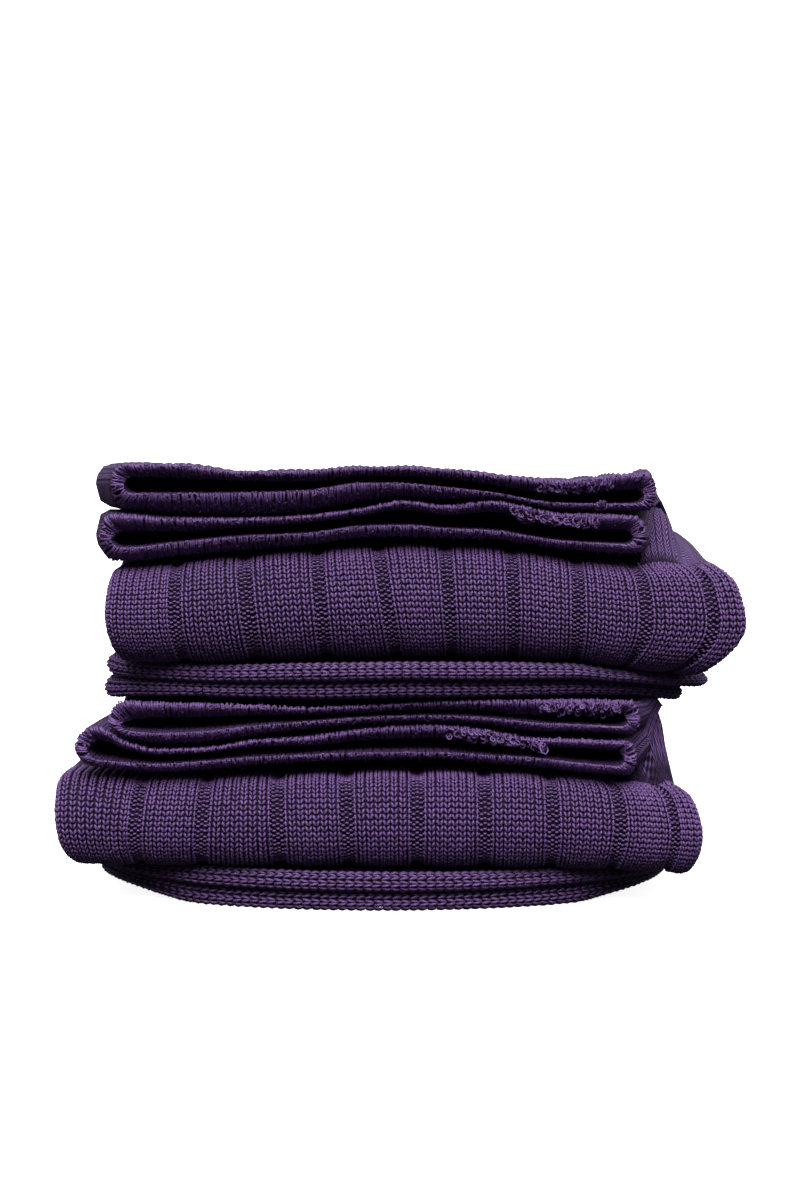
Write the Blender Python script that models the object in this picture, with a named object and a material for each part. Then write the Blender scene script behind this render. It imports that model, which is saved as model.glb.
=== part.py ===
"""Two folded pairs of fine ribbed socks, stacked one on the other.

Each pair is two socks laid flat one over the other and folded together into
an S of four levels: cuffs on top, two folds at the back, one fat fold at the
front under the cuffs, and the toes at the bottom front.

Frame: X across the stack, Y from the open cuffs to the back, Z up, origin on
the floor under the middle of the stack. Sizes below are in millimetres, and
distances back are counted from the front fold.
"""
import math

import bmesh
import bpy

MM = 0.001

# ---- yarn and knit ------------------------------------------------------
RIB_PITCH_SHARE = 0.1025      # one rib and its furrow, as a share of the flat leg
FIRST_FURROW_SHARE = 0.1235   # first furrow from the left edge
FURROWS = 9
FURROW_HALF_WIDTH = 1.15
FURROW_DEPTH = 0.5
EDGE_ROUND = 1.7              # rounding of a flattened tube's two sides

# ---- fold ---------------------------------------------------------------
LEVELS = 8                    # flattened tubes on top of one another in a pair
GAP = 0.06                    # half the gap between two tubes, in levels
POCKET_DEPTH = 25.0           # how far a cuff stands open
SLIT_HALF = 0.14              # half height of the open slit, in levels
SLIT_SIDE_WALL = 1.7          # wall at a cuff's closed left and right ends
LIP_ROUND = 0.6
TOE_ROUND_DEPTH = 22.0        # how far back the rounded toe reaches its full width
FRONT_ZONE = (9.0, 45.0)      # front heights hold up to here, then ease to the back's
MIDDLE = (0.0, 57.5)          # middle of the stack, across and back from the front fold

# ---- heights along the front, by distance across -------------------------
COLUMNS = (-44.0, -36.0, -26.0, -12.0, 2.0, 13.0, 22.0, 30.0, 45.0)

LOWER = {
    "heights": (
        # level             height at each column
        (GAP,              (2.3, 1.4, 0.0, 0.0, 0.0, 0.0, 0.0, 1.0, 2.8)),        # underside
        (1.0,              (4.0, 3.5, 2.8, 2.6, 2.5, 2.6, 2.8, 3.1, 4.1)),        # between toes
        (2.0,              (5.6, 5.5, 5.4, 5.3, 5.2, 5.1, 5.0, 4.8, 4.9)),        # over the toes
        (6.0 - GAP,        (16.5, 17.0, 17.5, 17.9, 18.0, 18.0, 17.9, 17.6, 16.8)),  # front fold's top
        (6.0 + GAP,        (19.0, 18.4, 18.6, 19.7, 20.2, 20.0, 19.0, 18.6, 17.8)),  # lower cuff's foot
        (7.0,              (23.6, 22.5, 22.0, 23.6, 24.5, 24.7, 23.8, 23.4, 22.8)),  # between cuffs
        (LEVELS - GAP,     (28.3, 28.0, 27.4, 26.9, 27.2, 27.6, 28.0, 28.2, 25.8)),  # top
    ),
    "back_heights": (0.0, 27.0),
    "depth_per_level": 3.1,
    "mouth_y": 1.2,
    "fold_front_y": 0.0,
    "back_y": (113.0, 109.0),          # rearmost point of the upper and the lower back fold
    "toe_y": {"a": 0.6, "b": 1.4},
    # station along the folded sock: left and right edge of sock a, of sock b
    "edges": (
        (0.00, (-38.4, 31.6), (-42.8, 31.2)),      # mouth
        (0.12, (-39.0, 34.2), (-43.2, 33.8)),      # under the welt
        (0.55, (-42.0, 38.8), (-43.4, 38.8)),      # leg
        (1.50, (-42.8, 40.0), (-42.5, 39.6)),      # upper back fold
        (2.50, (-43.2, 39.0), (-43.4, 38.6)),      # second level
        (3.00, (-42.0, 36.6), (-43.4, 37.0)),      # front fold, top
        (3.50, (-43.5, 38.0), (-45.3, 39.6)),      # front fold, nose
        (4.00, (-42.0, 36.4), (-43.0, 37.4)),      # front fold, foot
        (4.50, (-42.0, 37.0), (-42.0, 37.0)),      # third level
        (5.50, (-41.4, 36.6), (-41.0, 36.2)),      # lower back fold
        (6.50, (-41.6, 36.4), (-42.4, 37.6)),      # foot
        (7.00, (-41.6, 36.8), (-43.2, 38.4)),      # toe
    ),
}

UPPER = {
    "heights": (
        (GAP,              (28.7, 28.4, 28.15, 28.1, 28.4, 28.4, 28.4, 28.55, 26.8)),
        (1.0,              (30.3, 30.1, 30.1, 30.4, 30.7, 30.6, 30.6, 30.3, 28.8)),
        (2.0,              (31.7, 31.9, 32.3, 32.9, 33.1, 33.0, 32.7, 31.9, 30.5)),
        (6.0 - GAP,        (43.2, 45.0, 47.0, 48.4, 48.4, 48.1, 46.7, 45.9, 44.6)),
        (6.0 + GAP,        (47.8, 47.5, 48.5, 50.2, 50.6, 49.8, 48.2, 47.5, 46.8)),
        (7.0,              (52.4, 52.9, 53.2, 54.5, 54.8, 54.7, 52.5, 52.1, 51.4)),
        (LEVELS - GAP,     (58.4, 59.2, 58.8, 58.5, 58.8, 57.9, 57.1, 57.9, 58.0)),
    ),
    "back_heights": (27.3, 54.6),
    "depth_per_level": 3.8,
    "mouth_y": 1.6,
    "fold_front_y": 0.0,
    "back_y": (111.0, 115.0),
    "toe_y": {"a": 2.0, "b": 1.2},
    "edges": (
        (0.00, (-37.9, 33.7), (-39.5, 32.3)),
        (0.12, (-38.6, 34.6), (-39.8, 34.8)),
        (0.55, (-40.4, 38.8), (-40.6, 39.4)),
        (1.50, (-40.8, 41.4), (-40.4, 41.4)),
        (2.50, (-40.6, 42.4), (-40.2, 42.8)),
        (3.00, (-37.0, 40.8), (-37.0, 41.8)),
        (3.50, (-37.6, 43.8), (-38.7, 45.4)),
        (4.00, (-36.8, 39.6), (-37.6, 39.8)),
        (4.50, (-39.0, 40.6), (-39.4, 40.8)),
        (5.50, (-40.6, 40.2), (-40.2, 39.8)),
        (6.50, (-40.4, 38.4), (-41.0, 41.6)),
        (7.00, (-40.0, 37.2), (-41.0, 42.8)),
    ),
}


# ---- curves -------------------------------------------------------------
def ease(x0, x1, x):
    u = min(1.0, max(0.0, (x - x0) / (x1 - x0)))
    return u * u * (3.0 - 2.0 * u)


def through(xs, ys, x):
    """Smooth curve through the points, without overshoot between them."""
    if x <= xs[0]:
        return ys[0]
    if x >= xs[-1]:
        return ys[-1]
    k = max(i for i in range(len(xs) - 1) if xs[i] <= x)

    def secant(i):
        return (ys[i + 1] - ys[i]) / (xs[i + 1] - xs[i])

    def slope(i):
        if i == 0 or i == len(xs) - 1:
            return 0.0
        a, b = secant(i - 1), secant(i)
        return 0.0 if a * b <= 0.0 else 2.0 * a * b / (a + b)

    h = xs[k + 1] - xs[k]
    u = (x - xs[k]) / h
    return (ys[k] * (1 + 2 * u) * (1 - u) ** 2 + h * slope(k) * u * (1 - u) ** 2
            + ys[k + 1] * u * u * (3 - 2 * u) + h * slope(k + 1) * u * u * (u - 1))


def straight(xs, ys, x):
    """Straight lines through the points, carried on past both ends."""
    k = max([0] + [i for i in range(len(xs) - 1) if xs[i] <= x])
    return ys[k] + (ys[k + 1] - ys[k]) * (x - xs[k]) / (xs[k + 1] - xs[k])


def height(pair, x, y, level):
    """Where a level of the pair lies above the floor, at a place across and back."""
    levels = [row[0] for row in pair["heights"]]
    front = straight(levels, [through(COLUMNS, row[1], x) for row in pair["heights"]], level)
    low, high = pair["back_heights"]
    back = straight((GAP, LEVELS - GAP), (low, high), level)
    w = ease(FRONT_ZONE[0], FRONT_ZONE[1], y)
    return front * (1 - w) + back * w


# ---- the folded path ------------------------------------------------------
def path(pair, sock, station):
    """A station's place and outward direction, as (y, level) and (dy, dlevel).

    Stations: 0 mouth, 1-2 upper back fold, 3-4 front fold, 5-6 lower back
    fold, 7 toe. The path runs between the two socks; the direction points to
    sock a's side of it.
    """
    per = pair["depth_per_level"]
    back_up = pair["back_y"][0] - 2.0 * per
    back_low = pair["back_y"][1] - 2.0 * per
    front = pair["fold_front_y"] + 2.0 * per
    k = min(6, int(station))
    u = station - k
    turn = math.pi * u
    if k == 0:
        return (pair["mouth_y"] + (back_up - pair["mouth_y"]) * u, 7.0), (0.0, 1.0)
    if k == 1:
        d = (math.sin(turn), math.cos(turn))
        return (back_up + per * d[0], 6.0 + d[1]), (per * d[0], d[1])
    if k == 2:
        return (back_up + (front - back_up) * u, 5.0), (0.0, -1.0)
    if k == 3:
        d = (math.sin(turn), -math.cos(turn))
        return (front - per * d[0], 4.0 - d[1]), (per * d[0], d[1])
    if k == 4:
        return (front + (back_low - front) * u, 3.0), (0.0, 1.0)
    if k == 5:
        d = (math.sin(turn), math.cos(turn))
        return (back_low + per * d[0], 2.0 + d[1]), (per * d[0], d[1])
    return (back_low + (pair["toe_y"][sock] - back_low) * u, 1.0), (0.0, -1.0)


def place(pair, sock, station, x, out):
    """A point of the sock: `out` is its distance from the tube's middle, in levels."""
    (y, level), (dy, dl) = path(pair, sock, station)
    reach = (0.5 if sock == "a" else -0.5) + out
    y += dy * reach
    level += dl * reach
    return ((x - MIDDLE[0]) * MM, (y - MIDDLE[1]) * MM, height(pair, x, y, level) * MM)


def edges(pair, sock, station):
    column = 1 if sock == "a" else 2
    at = [row[0] for row in pair["edges"]]
    return [through(at, [row[column][side] for row in pair["edges"]], station) for side in (0, 1)]


# ---- sections ---------------------------------------------------------------
def roundness(inside, radius):
    """Thickness of a rounded edge, as a share of the full one."""
    return math.sqrt(max(0.0, 1.0 - max(0.0, 1.0 - inside / radius) ** 2))


def across(left, right, count):
    """Places across a tube: its two edges, their rounding, and `count` steps between."""
    a, b = left + EDGE_ROUND, right - EDGE_ROUND
    return ([left, left + 0.3 * EDGE_ROUND] + [a + (b - a) * i / count for i in range(count + 1)]
            + [right - 0.3 * EDGE_ROUND, right])


def across_ribs(left, right):
    """Places across a ribbed side, each with its depth below the rib tops."""
    width = right - left
    spots = [(left, 0.0), (left + 0.3 * EDGE_ROUND, 0.0), (left + EDGE_ROUND, 0.0)]
    for i in range(FURROWS):
        middle = left + width * (FIRST_FURROW_SHARE + i * RIB_PITCH_SHARE)
        spots += [(middle - FURROW_HALF_WIDTH, 0.0), (middle, FURROW_DEPTH),
                  (middle + FURROW_HALF_WIDTH, 0.0)]
    return spots + [(right - EDGE_ROUND, 0.0), (right - 0.3 * EDGE_ROUND, 0.0), (right, 0.0)]


HALF = 0.5 - GAP


def ring(bm, pair, sock, station, count, ribs=0, share=1.0, inset=0.0):
    """One closed section of the tube, as (vertex, turn) with turn from 0 to 1.

    ribs is +1 or -1 for ribs on that side, share the thickness, inset how far
    the two edges are drawn in.
    """
    left, right = edges(pair, sock, station)
    left, right = left + inset, right - inset
    plain = [(x, 0.0) for x in across(left, right, count)]
    ribbed = across_ribs(left, right)
    per = pair["depth_per_level"]
    points = []
    for side in (1, -1):
        spots = ribbed if ribs == side else plain
        half_turn = []
        for x, depth in spots:
            thick = roundness(min(x - left, right - x), EDGE_ROUND) * HALF * share
            half_turn.append((x, side * (thick - depth / per), (x - left) / (right - left)))
        points.append(half_turn)
    loop = [(x, out, 0.5 * t) for x, out, t in points[0]]
    loop += [(x, out, 1.0 - 0.5 * t) for x, out, t in reversed(points[1][1:-1])]
    return [(bm.verts.new(place(pair, sock, station, x, out)), turn) for x, out, turn in loop]


def toe_ring(bm, pair, sock, back, count):
    """A section of the rounded toe, `back` behind its tip: half an ellipse in plan."""
    (y_tip, _), _ = path(pair, sock, 7.0)
    (y_fold, _), _ = path(pair, sock, 6.0)
    station = 7.0 - back / (y_fold - y_tip)
    left, right = edges(pair, sock, station)
    middle, half = 0.5 * (left + right), 0.5 * (right - left)
    fore = 1.0 - back / TOE_ROUND_DEPTH
    reach = half * math.sqrt(max(0.0, 1.0 - fore * fore))
    loop = []
    for side in (1, -1):
        row = []
        for i in range(count + 1):
            share = -math.cos(math.pi * i / count)
            x = share * reach
            inside = 1.0 - fore * fore - (x / half) ** 2
            steep = 2.0 * math.hypot(fore / TOE_ROUND_DEPTH, x / half ** 2)
            thick = HALF * roundness(inside / max(steep, 1e-6), EDGE_ROUND)
            row.append((middle + x, side * thick, 0.5 * (1.0 + share)))
        loop += ([(x, o, 0.5 * t) for x, o, t in row] if side == 1
                 else [(x, o, 1.0 - 0.5 * t) for x, o, t in reversed(row[1:-1])])
    return [(bm.verts.new(place(pair, sock, station, x, o)), t) for x, o, t in loop]


def join(bm, first, second):
    """Skin two sections of any number of points, walking round both by turn."""
    n, m = len(first), len(second)
    i = j = 0
    while i < n or j < m:
        a0, b0 = first[i % n][0], second[j % m][0]
        next_a = first[i + 1][1] if i + 1 < n else (1.0 if i < n else 9.0)
        next_b = second[j + 1][1] if j + 1 < m else (1.0 if j < m else 9.0)
        if abs(next_a - next_b) < 1e-9:
            bm.faces.new((a0, first[(i + 1) % n][0], second[(j + 1) % m][0], b0))
            i, j = i + 1, j + 1
        elif next_a < next_b:
            bm.faces.new((a0, first[(i + 1) % n][0], b0))
            i += 1
        else:
            bm.faces.new((a0, second[(j + 1) % m][0], b0))
            j += 1


def close(bm, section):
    """Close a flat section between its upper and lower points."""
    loop = [v for v, _ in section]
    half = len(loop) // 2
    bm.faces.new((loop[0], loop[1], loop[-1]))
    for i in range(1, half - 1):
        bm.faces.new((loop[i], loop[i + 1], loop[-i - 1], loop[-i]))
    bm.faces.new((loop[half - 1], loop[half], loop[half + 1]))


# ---- one sock -----------------------------------------------------------------
def sock_mesh(pair, sock, ribs_on_top):
    bm = bmesh.new()
    leg = 1.0 / (pair["back_y"][0] - 2.0 * pair["depth_per_level"] - pair["mouth_y"])
    outer = sock == "a"               # sock a is outside in the back folds, sock b in front
    fine, plain = 14, 8

    # the open mouth: inside of the pocket, then over the lip
    pocket = [(POCKET_DEPTH, 0.10), (POCKET_DEPTH * 0.6, 0.8), (LIP_ROUND * 1.5, 1.0)]
    sections = [ring(bm, pair, sock, depth * leg, fine, 0, SLIT_HALF / HALF * open_, SLIT_SIDE_WALL)
                for depth, open_ in pocket]
    middle = 0.5 * (1.0 + SLIT_HALF / HALF)
    sections.append(ring(bm, pair, sock, LIP_ROUND * 0.3 * leg, fine, 0,
                         0.55 * middle + 0.45 * SLIT_HALF / HALF, SLIT_SIDE_WALL * 0.8))
    sections.append(ring(bm, pair, sock, 0.0, fine, 0, middle, SLIT_SIDE_WALL * 0.5))
    sections.append(ring(bm, pair, sock, LIP_ROUND * 0.3 * leg, fine, 0,
                         0.55 + 0.45 * middle, SLIT_SIDE_WALL * 0.2))
    sections.append(ring(bm, pair, sock, LIP_ROUND * 1.2 * leg, fine, 0))

    # the leg and foot through the folds
    top = 1 if (outer and ribs_on_top) else 0
    stations = [(8.0 * leg, top), (0.22, top), (0.42, top), (0.68, top)]
    turn = 8 if outer else 4
    stations += [(1.0 + i / turn, 1 if outer else 0) for i in range(turn + 1)]
    stations += [(2.3, 0), (2.62, 0), (2.85, 0)]
    turn = 4 if outer else 10
    stations += [(3.0 + i / turn, 0 if outer else -1) for i in range(turn + 1)]
    stations += [(4.12, 0), (4.35, 0), (4.7, 0)]
    turn = 8 if outer else 4
    stations += [(5.0 + i / turn, 1 if outer else 0) for i in range(turn + 1)]
    stations += [(6.3, 0), (6.5, 0), (6.7, 0)]
    sections += [ring(bm, pair, sock, s, plain, ribs) for s, ribs in stations]

    # the rounded toe
    for i in range(6, 0, -1):
        back = TOE_ROUND_DEPTH * (1.0 - math.cos(0.5 * math.pi * i / 6.0))
        sections.append(toe_ring(bm, pair, sock, back, 12))
    for first, second in zip(sections, sections[1:]):
        join(bm, first, second)
    close(bm, sections[0])
    tip = bm.verts.new(place(pair, sock, 7.0, 0.5 * sum(edges(pair, sock, 7.0)), 0.0))
    last = [v for v, _ in sections[-1]]
    for i, v in enumerate(last):
        bm.faces.new((v, last[(i + 1) % len(last)], tip))
    bmesh.ops.recalc_face_normals(bm, faces=bm.faces)
    return bm


def material(name, colour, roughness):
    mat = bpy.data.materials.new(name)
    mat.use_nodes = True
    shader = mat.node_tree.nodes["Principled BSDF"]
    shader.inputs["Base Color"].default_value = (*colour, 1.0)
    shader.inputs["Roughness"].default_value = roughness
    shader.inputs["Metallic"].default_value = 0.0
    return mat


def add_sock(name, pair, sock, ribs_on_top, collection, mat):
    bm = sock_mesh(pair, sock, ribs_on_top)
    mesh = bpy.data.meshes.new(name)
    bm.to_mesh(mesh)
    bm.free()
    mesh.shade_smooth()
    mesh.set_sharp_from_angle(angle=math.radians(50))
    mesh.materials.append(mat)
    obj = bpy.data.objects.new(name, mesh)
    collection.objects.link(obj)
    return obj


def main():
    for obj in list(bpy.data.objects):
        bpy.data.objects.remove(obj, do_unlink=True)
    collection = bpy.data.collections.new("socks")
    bpy.context.scene.collection.children.link(collection)
    over = material("aubergine_cotton_over", (0.060, 0.020, 0.085), 0.85)
    under = material("aubergine_cotton_under", (0.052, 0.018, 0.075), 0.85)
    add_sock("lower_sock_a", LOWER, "a", False, collection, over)
    add_sock("lower_sock_b", LOWER, "b", False, collection, under)
    add_sock("upper_sock_a", UPPER, "a", True, collection, over)
    add_sock("upper_sock_b", UPPER, "b", False, collection, under)


main()
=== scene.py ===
"""Two folded pairs of fine ribbed socks in aubergine cotton, stacked for a shelf."""
import math

import bpy
import numpy as np
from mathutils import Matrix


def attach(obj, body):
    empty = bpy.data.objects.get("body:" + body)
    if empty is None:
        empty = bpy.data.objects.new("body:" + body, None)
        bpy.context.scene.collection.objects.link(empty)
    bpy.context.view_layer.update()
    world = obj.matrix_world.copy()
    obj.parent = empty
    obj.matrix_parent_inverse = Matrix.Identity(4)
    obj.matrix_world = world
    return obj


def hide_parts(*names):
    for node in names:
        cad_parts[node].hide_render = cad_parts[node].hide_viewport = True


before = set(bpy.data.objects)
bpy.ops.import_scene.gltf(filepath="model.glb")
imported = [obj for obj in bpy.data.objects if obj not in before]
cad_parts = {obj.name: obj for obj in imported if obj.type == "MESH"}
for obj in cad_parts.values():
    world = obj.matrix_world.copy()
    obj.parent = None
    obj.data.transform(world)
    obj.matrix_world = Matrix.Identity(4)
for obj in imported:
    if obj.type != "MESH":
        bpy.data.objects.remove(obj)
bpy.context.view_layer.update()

MM = 0.001

# ---- camera ----------------------------------------------
camera_data = bpy.data.cameras.new("camera")
camera_data.lens, camera_data.sensor_width = 80.76, 36.0
camera = bpy.data.objects.new("camera", camera_data)
camera.location = (0.0, -0.4075, 0.0673)
camera.rotation_euler = (math.radians(90.0 - 4.22), 0.0, 0.0)
bpy.context.scene.collection.objects.link(camera)
bpy.context.scene.camera = camera
bpy.context.scene.view_settings.view_transform = "Standard"

# ---- yarn and knit, in mm --------------------------------
WALES_PER_RIB = 8             # six plain wales and two purl ones in the furrow
FURROWS = 9
LEFT_TIP, RIGHT_TIP = -10.34, 69.16   # side edges of the flat tube, in wales from the first furrow
WALES_ROUND = 2.0 * (RIGHT_TIP - LEFT_TIP)
COURSE, TOE_COURSE = 0.80, 1.2        # length of a stitch, on the leg and round the toe
FURROW_DEPTH, RIB_CROWN = 0.35, 0.4
EDGE_ROUND = 1.7              # rounding of a flattened tube's two sides
EDGE_ARC = 2.4                # length of knit on that rounding
UNDER = 0.42                  # how far the plain tube lies under its stitches
YARN = 0.19                   # half width of a yarn

# ---- fold, as in the part's source -----------------------
LEVELS = 8                    # flattened tubes on top of one another in a pair
GAP = 0.06                    # from the border of two levels to a tube's face, in levels
HALF = 0.5 - GAP              # from a tube's middle to its face
SLIT = 0.14                   # half height of a cuff's open slit, in levels
SLIT_SIDE_WALL = 1.7          # the knit beside the slit's two ends
FRONT_ZONE = (13.0, 52.0)     # from here back to there the front's heights turn into the back's
MIDDLE_Y = 57.5               # the middle of the stack's depth, which is the frame's zero
CLIMB_WALE = 57.5             # from here on the front fold climbs beside the cuffs

# places across at which the front's heights are given
BODY = (-44.0, -36.0, -26.0, -12.0, 2.0, 13.0, 22.0, 30.0, 45.0)
LOW_CUFF = (-44, -42, -40, -36, -32, -26, -19, -12, -4, 5, 11, 18, 24, 30, 36, 45)
UP_CUFF = (-44, -36, -30, -21, -12, -5, 0.5, 6, 12, 21, 29, 36, 45)

LOWER = {
    "name": "lower",
    "heights": (
        # level       at         height at each place across, along the front
        (GAP, BODY, (2.3, 1.4, 0.0, 0.0, 0.0, 0.0, 0.0, 1.0, 2.8)),
        (1.0, BODY, (4.0, 3.5, 2.8, 2.6, 2.5, 2.6, 2.8, 3.0, 3.2)),
        (2.0, BODY, (5.6, 5.5, 5.4, 5.3, 5.2, 5.1, 5.0, 4.7, 3.9)),
        (6.0 - GAP, BODY, (18.2, 17.5, 17.3, 17.7, 18.0, 17.9, 17.4, 16.8, 16.2)),
        (6.0 + GAP, LOW_CUFF, (20.8, 19.6, 19.1, 18.7, 18.4, 18.6, 19.2, 19.5,
                               19.7, 19.8, 19.4, 18.9, 18.3, 17.9, 17.8, 17.8)),
        (6.5 - SLIT, LOW_CUFF, (21.5, 20.8, 20.3, 19.9, 19.7, 20.0, 20.5, 20.7,
                                20.9, 20.9, 20.6, 20.3, 19.7, 19.3, 19.3, 19.3)),
        (6.5 + SLIT, LOW_CUFF, (22.0, 22.7, 22.6, 21.4, 20.8, 21.0, 21.7, 21.7,
                                22.3, 22.5, 21.8, 21.6, 21.5, 21.1, 21.0, 20.9)),
        (7.0 - GAP, LOW_CUFF, (22.8, 24.2, 24.7, 22.6, 21.6, 21.7, 22.7, 23.1,
                               24.1, 24.5, 24.0, 22.9, 22.8, 22.7, 22.6, 22.4)),
        (7.0 + GAP, LOW_CUFF, (25.4, 25.4, 25.2, 22.95, 21.95, 22.1, 23.1, 23.9,
                               24.6, 24.9, 24.6, 23.6, 23.7, 23.5, 23.4, 23.2)),
        (7.5 - SLIT, LOW_CUFF, (25.7, 25.6, 25.4, 24.1, 23.8, 24.0, 24.7, 25.1,
                                25.6, 25.8, 25.6, 25.0, 24.8, 24.6, 24.6, 24.6)),
        (7.5 + SLIT, LOW_CUFF, (26.0, 26.0, 26.0, 25.3, 25.5, 25.6, 25.8, 25.9,
                                26.2, 26.6, 26.4, 25.8, 25.9, 26.1, 26.0, 25.6)),
        (8.0 - GAP, LOW_CUFF, (27.8, 28.0, 28.1, 28.1, 27.9, 27.7, 27.4, 27.0,
                               27.2, 27.7, 27.9, 28.1, 28.2, 28.1, 27.9, 25.6)),
    ),
    "right_slope": 1.9,           # how far the front fold climbs beside the cuffs, in levels
    "slope_y": (5.5, 13.0),       # between which places back
    "slope_x": (29.0, 34.0, 40.5, 34.5),   # and between which places across
    "dip": 1.0,                   # the top sinks behind its lip, under the upper pair
    "back_heights": (0.0, 27.0),
    "depth_per_level": 3.1,
    "mouth_y": 1.2,
    "recess": 3.0,                # how far the middle of the two lips lies back
    "fold_front_y": 0.0,
    "back_y": (113.0, 109.0),
    "toe_y": {"a": 1.7, "b": 0.7},
    "toe_round": 22.0,            # how far back the rounded toe reaches
    # each furrow lies a little to the right of even spacing, and leans as it goes down, in mm
    "rib_shift": (0.0, 0.0, 1.3, 1.7, 2.2, 2.4, 2.6, 2.8, 1.3),
    "rib_lean": (-1.4, -0.8, 0.4, 0.5, 0.0, 0.0, 0.0, -0.6, 0.0),
    "edges": (
        # station: left and right edge of sock a, of sock b
        (0.00, (-38.4, 31.6), (-42.8, 31.2)),
        (0.06, (-38.4, 33.4), (-42.6, 33.4)),
        (0.12, (-38.4, 35.2), (-41.8, 35.8)),
        (0.30, (-39.2, 36.6), (-40.6, 36.6)),
        (0.55, (-40.5, 38.0), (-40.8, 38.0)),
        (1.50, (-42.8, 40.0), (-42.5, 39.6)),
        (2.50, (-43.2, 37.0), (-43.4, 37.2)),
        (2.85, (-42.4, 35.4), (-44.6, 35.4)),
        (2.95, (-42.1, 35.6), (-45.2, 35.7)),
        (3.00, (-42.0, 36.2), (-45.4, 37.2)),
        (3.25, (-42.8, 37.4), (-45.5, 39.2)),
        (3.50, (-43.5, 38.0), (-45.4, 39.9)),
        (4.00, (-42.0, 36.4), (-43.6, 38.4)),
        (4.50, (-42.0, 37.0), (-42.0, 37.0)),
        (5.50, (-41.4, 36.6), (-41.0, 36.2)),
        (6.50, (-41.6, 36.4), (-42.4, 37.6)),
        (7.00, (-41.6, 36.8), (-43.2, 38.4)),
    ),
}

UPPER = {
    "name": "upper",
    "heights": (
        (GAP, BODY, (26.2, 27.6, 28.15, 28.1, 28.4, 28.4, 28.4, 28.1, 25.4)),
        (1.0, BODY, (29.9, 30.1, 30.1, 30.4, 30.7, 30.6, 30.6, 30.0, 28.4)),
        (2.0, BODY, (34.0, 32.6, 32.4, 32.9, 33.1, 33.0, 32.7, 31.6, 30.2)),
        (6.0 - GAP, BODY, (45.4, 45.4, 46.4, 47.6, 48.2, 47.9, 46.5, 45.7, 45.9)),
        (6.0 + GAP, UP_CUFF, (46.9, 46.2, 46.8, 47.6, 48.4, 49.3, 49.5, 49.3, 49.2, 48.0, 47.4, 47.0, 46.8)),
        (6.5 - SLIT, UP_CUFF, (48.9, 48.2, 48.8, 49.7, 50.1, 51.0, 51.1, 50.7, 50.4, 49.1, 48.6, 48.3, 48.3)),
        (6.5 + SLIT, UP_CUFF, (50.2, 50.2, 50.2, 50.7, 51.4, 52.3, 53.1, 52.4, 52.8, 50.8, 50.4, 50.6, 50.2)),
        (7.0 - GAP, UP_CUFF, (52.8, 52.6, 52.1, 52.0, 52.4, 53.3, 54.3, 53.7, 54.3, 52.8, 52.5, 52.2, 51.8)),
        (7.0 + GAP, UP_CUFF, (53.2, 53.0, 52.7, 52.5, 53.0, 54.2, 54.7, 54.5, 54.7, 53.2, 52.9, 52.7, 52.6)),
        (7.5 - SLIT, UP_CUFF, (55.6, 55.3, 55.3, 55.4, 55.7, 56.7, 56.6, 56.1, 55.4, 54.0, 53.9, 54.1, 54.2)),
        (7.5 + SLIT, UP_CUFF, (56.6, 57.4, 57.3, 56.9, 56.8, 57.4, 57.5, 57.1, 56.4, 55.2, 55.6, 56.0, 55.8)),
        (8.0 - GAP, UP_CUFF, (58.4, 59.2, 59.2, 58.2, 58.4, 58.8, 58.8, 58.5, 57.9, 57.05, 57.8, 58.3, 58.0)),
    ),
    "dip": 0.0,
    "right_slope": 1.25,
    "slope_y": (6.0, 22.0),
    "slope_x": (29.0, 34.5, 41.5, 35.0),
    "back_heights": (27.3, 54.6),
    "depth_per_level": 3.8,
    "mouth_y": 2.3,
    "recess": 0.0,
    "fold_front_y": 0.0,
    "back_y": (111.0, 115.0),
    "toe_y": {"a": 2.6, "b": 1.0},
    "toe_round": 15.0,
    "rib_shift": (-1.2, -0.2, 0.75, 0.8, 0.3, 0.1, 0.0, 0.3, 0.5),
    "rib_lean": (0.6, 1.6, 1.2, 2.4, 1.0, 0.3, 0.0, 0.0, 0.0),
    "edges": (
        (0.00, (-37.9, 33.7), (-39.5, 32.3)),
        (0.05, (-39.0, 33.9), (-39.9, 33.2)),
        (0.14, (-41.4, 34.4), (-41.4, 34.6)),
        (0.50, (-41.8, 37.8), (-41.7, 40.0)),
        (1.50, (-41.2, 41.0), (-41.0, 41.6)),
        (2.50, (-40.6, 42.4), (-40.2, 42.8)),
        (3.00, (-37.0, 40.8), (-38.3, 42.6)),
        (3.25, (-37.3, 42.6), (-38.5, 44.6)),
        (3.50, (-37.6, 43.8), (-38.7, 45.4)),
        (4.00, (-36.8, 39.6), (-37.6, 39.8)),
        (4.50, (-39.0, 40.6), (-39.4, 40.8)),
        (5.50, (-40.6, 40.2), (-40.2, 39.8)),
        (6.50, (-39.6, 37.6), (-39.9, 40.4)),
        (7.00, (-40.4, 38.6), (-39.9, 41.9)),
    ),
}


# ---- curves ----------------------------------------------
def ease(x0, x1, x):
    """From 0 at x0 to 1 at x1, level at both."""
    u = np.clip((x - x0) / (x1 - x0), 0.0, 1.0)
    return u * u * (3.0 - 2.0 * u)


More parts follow.
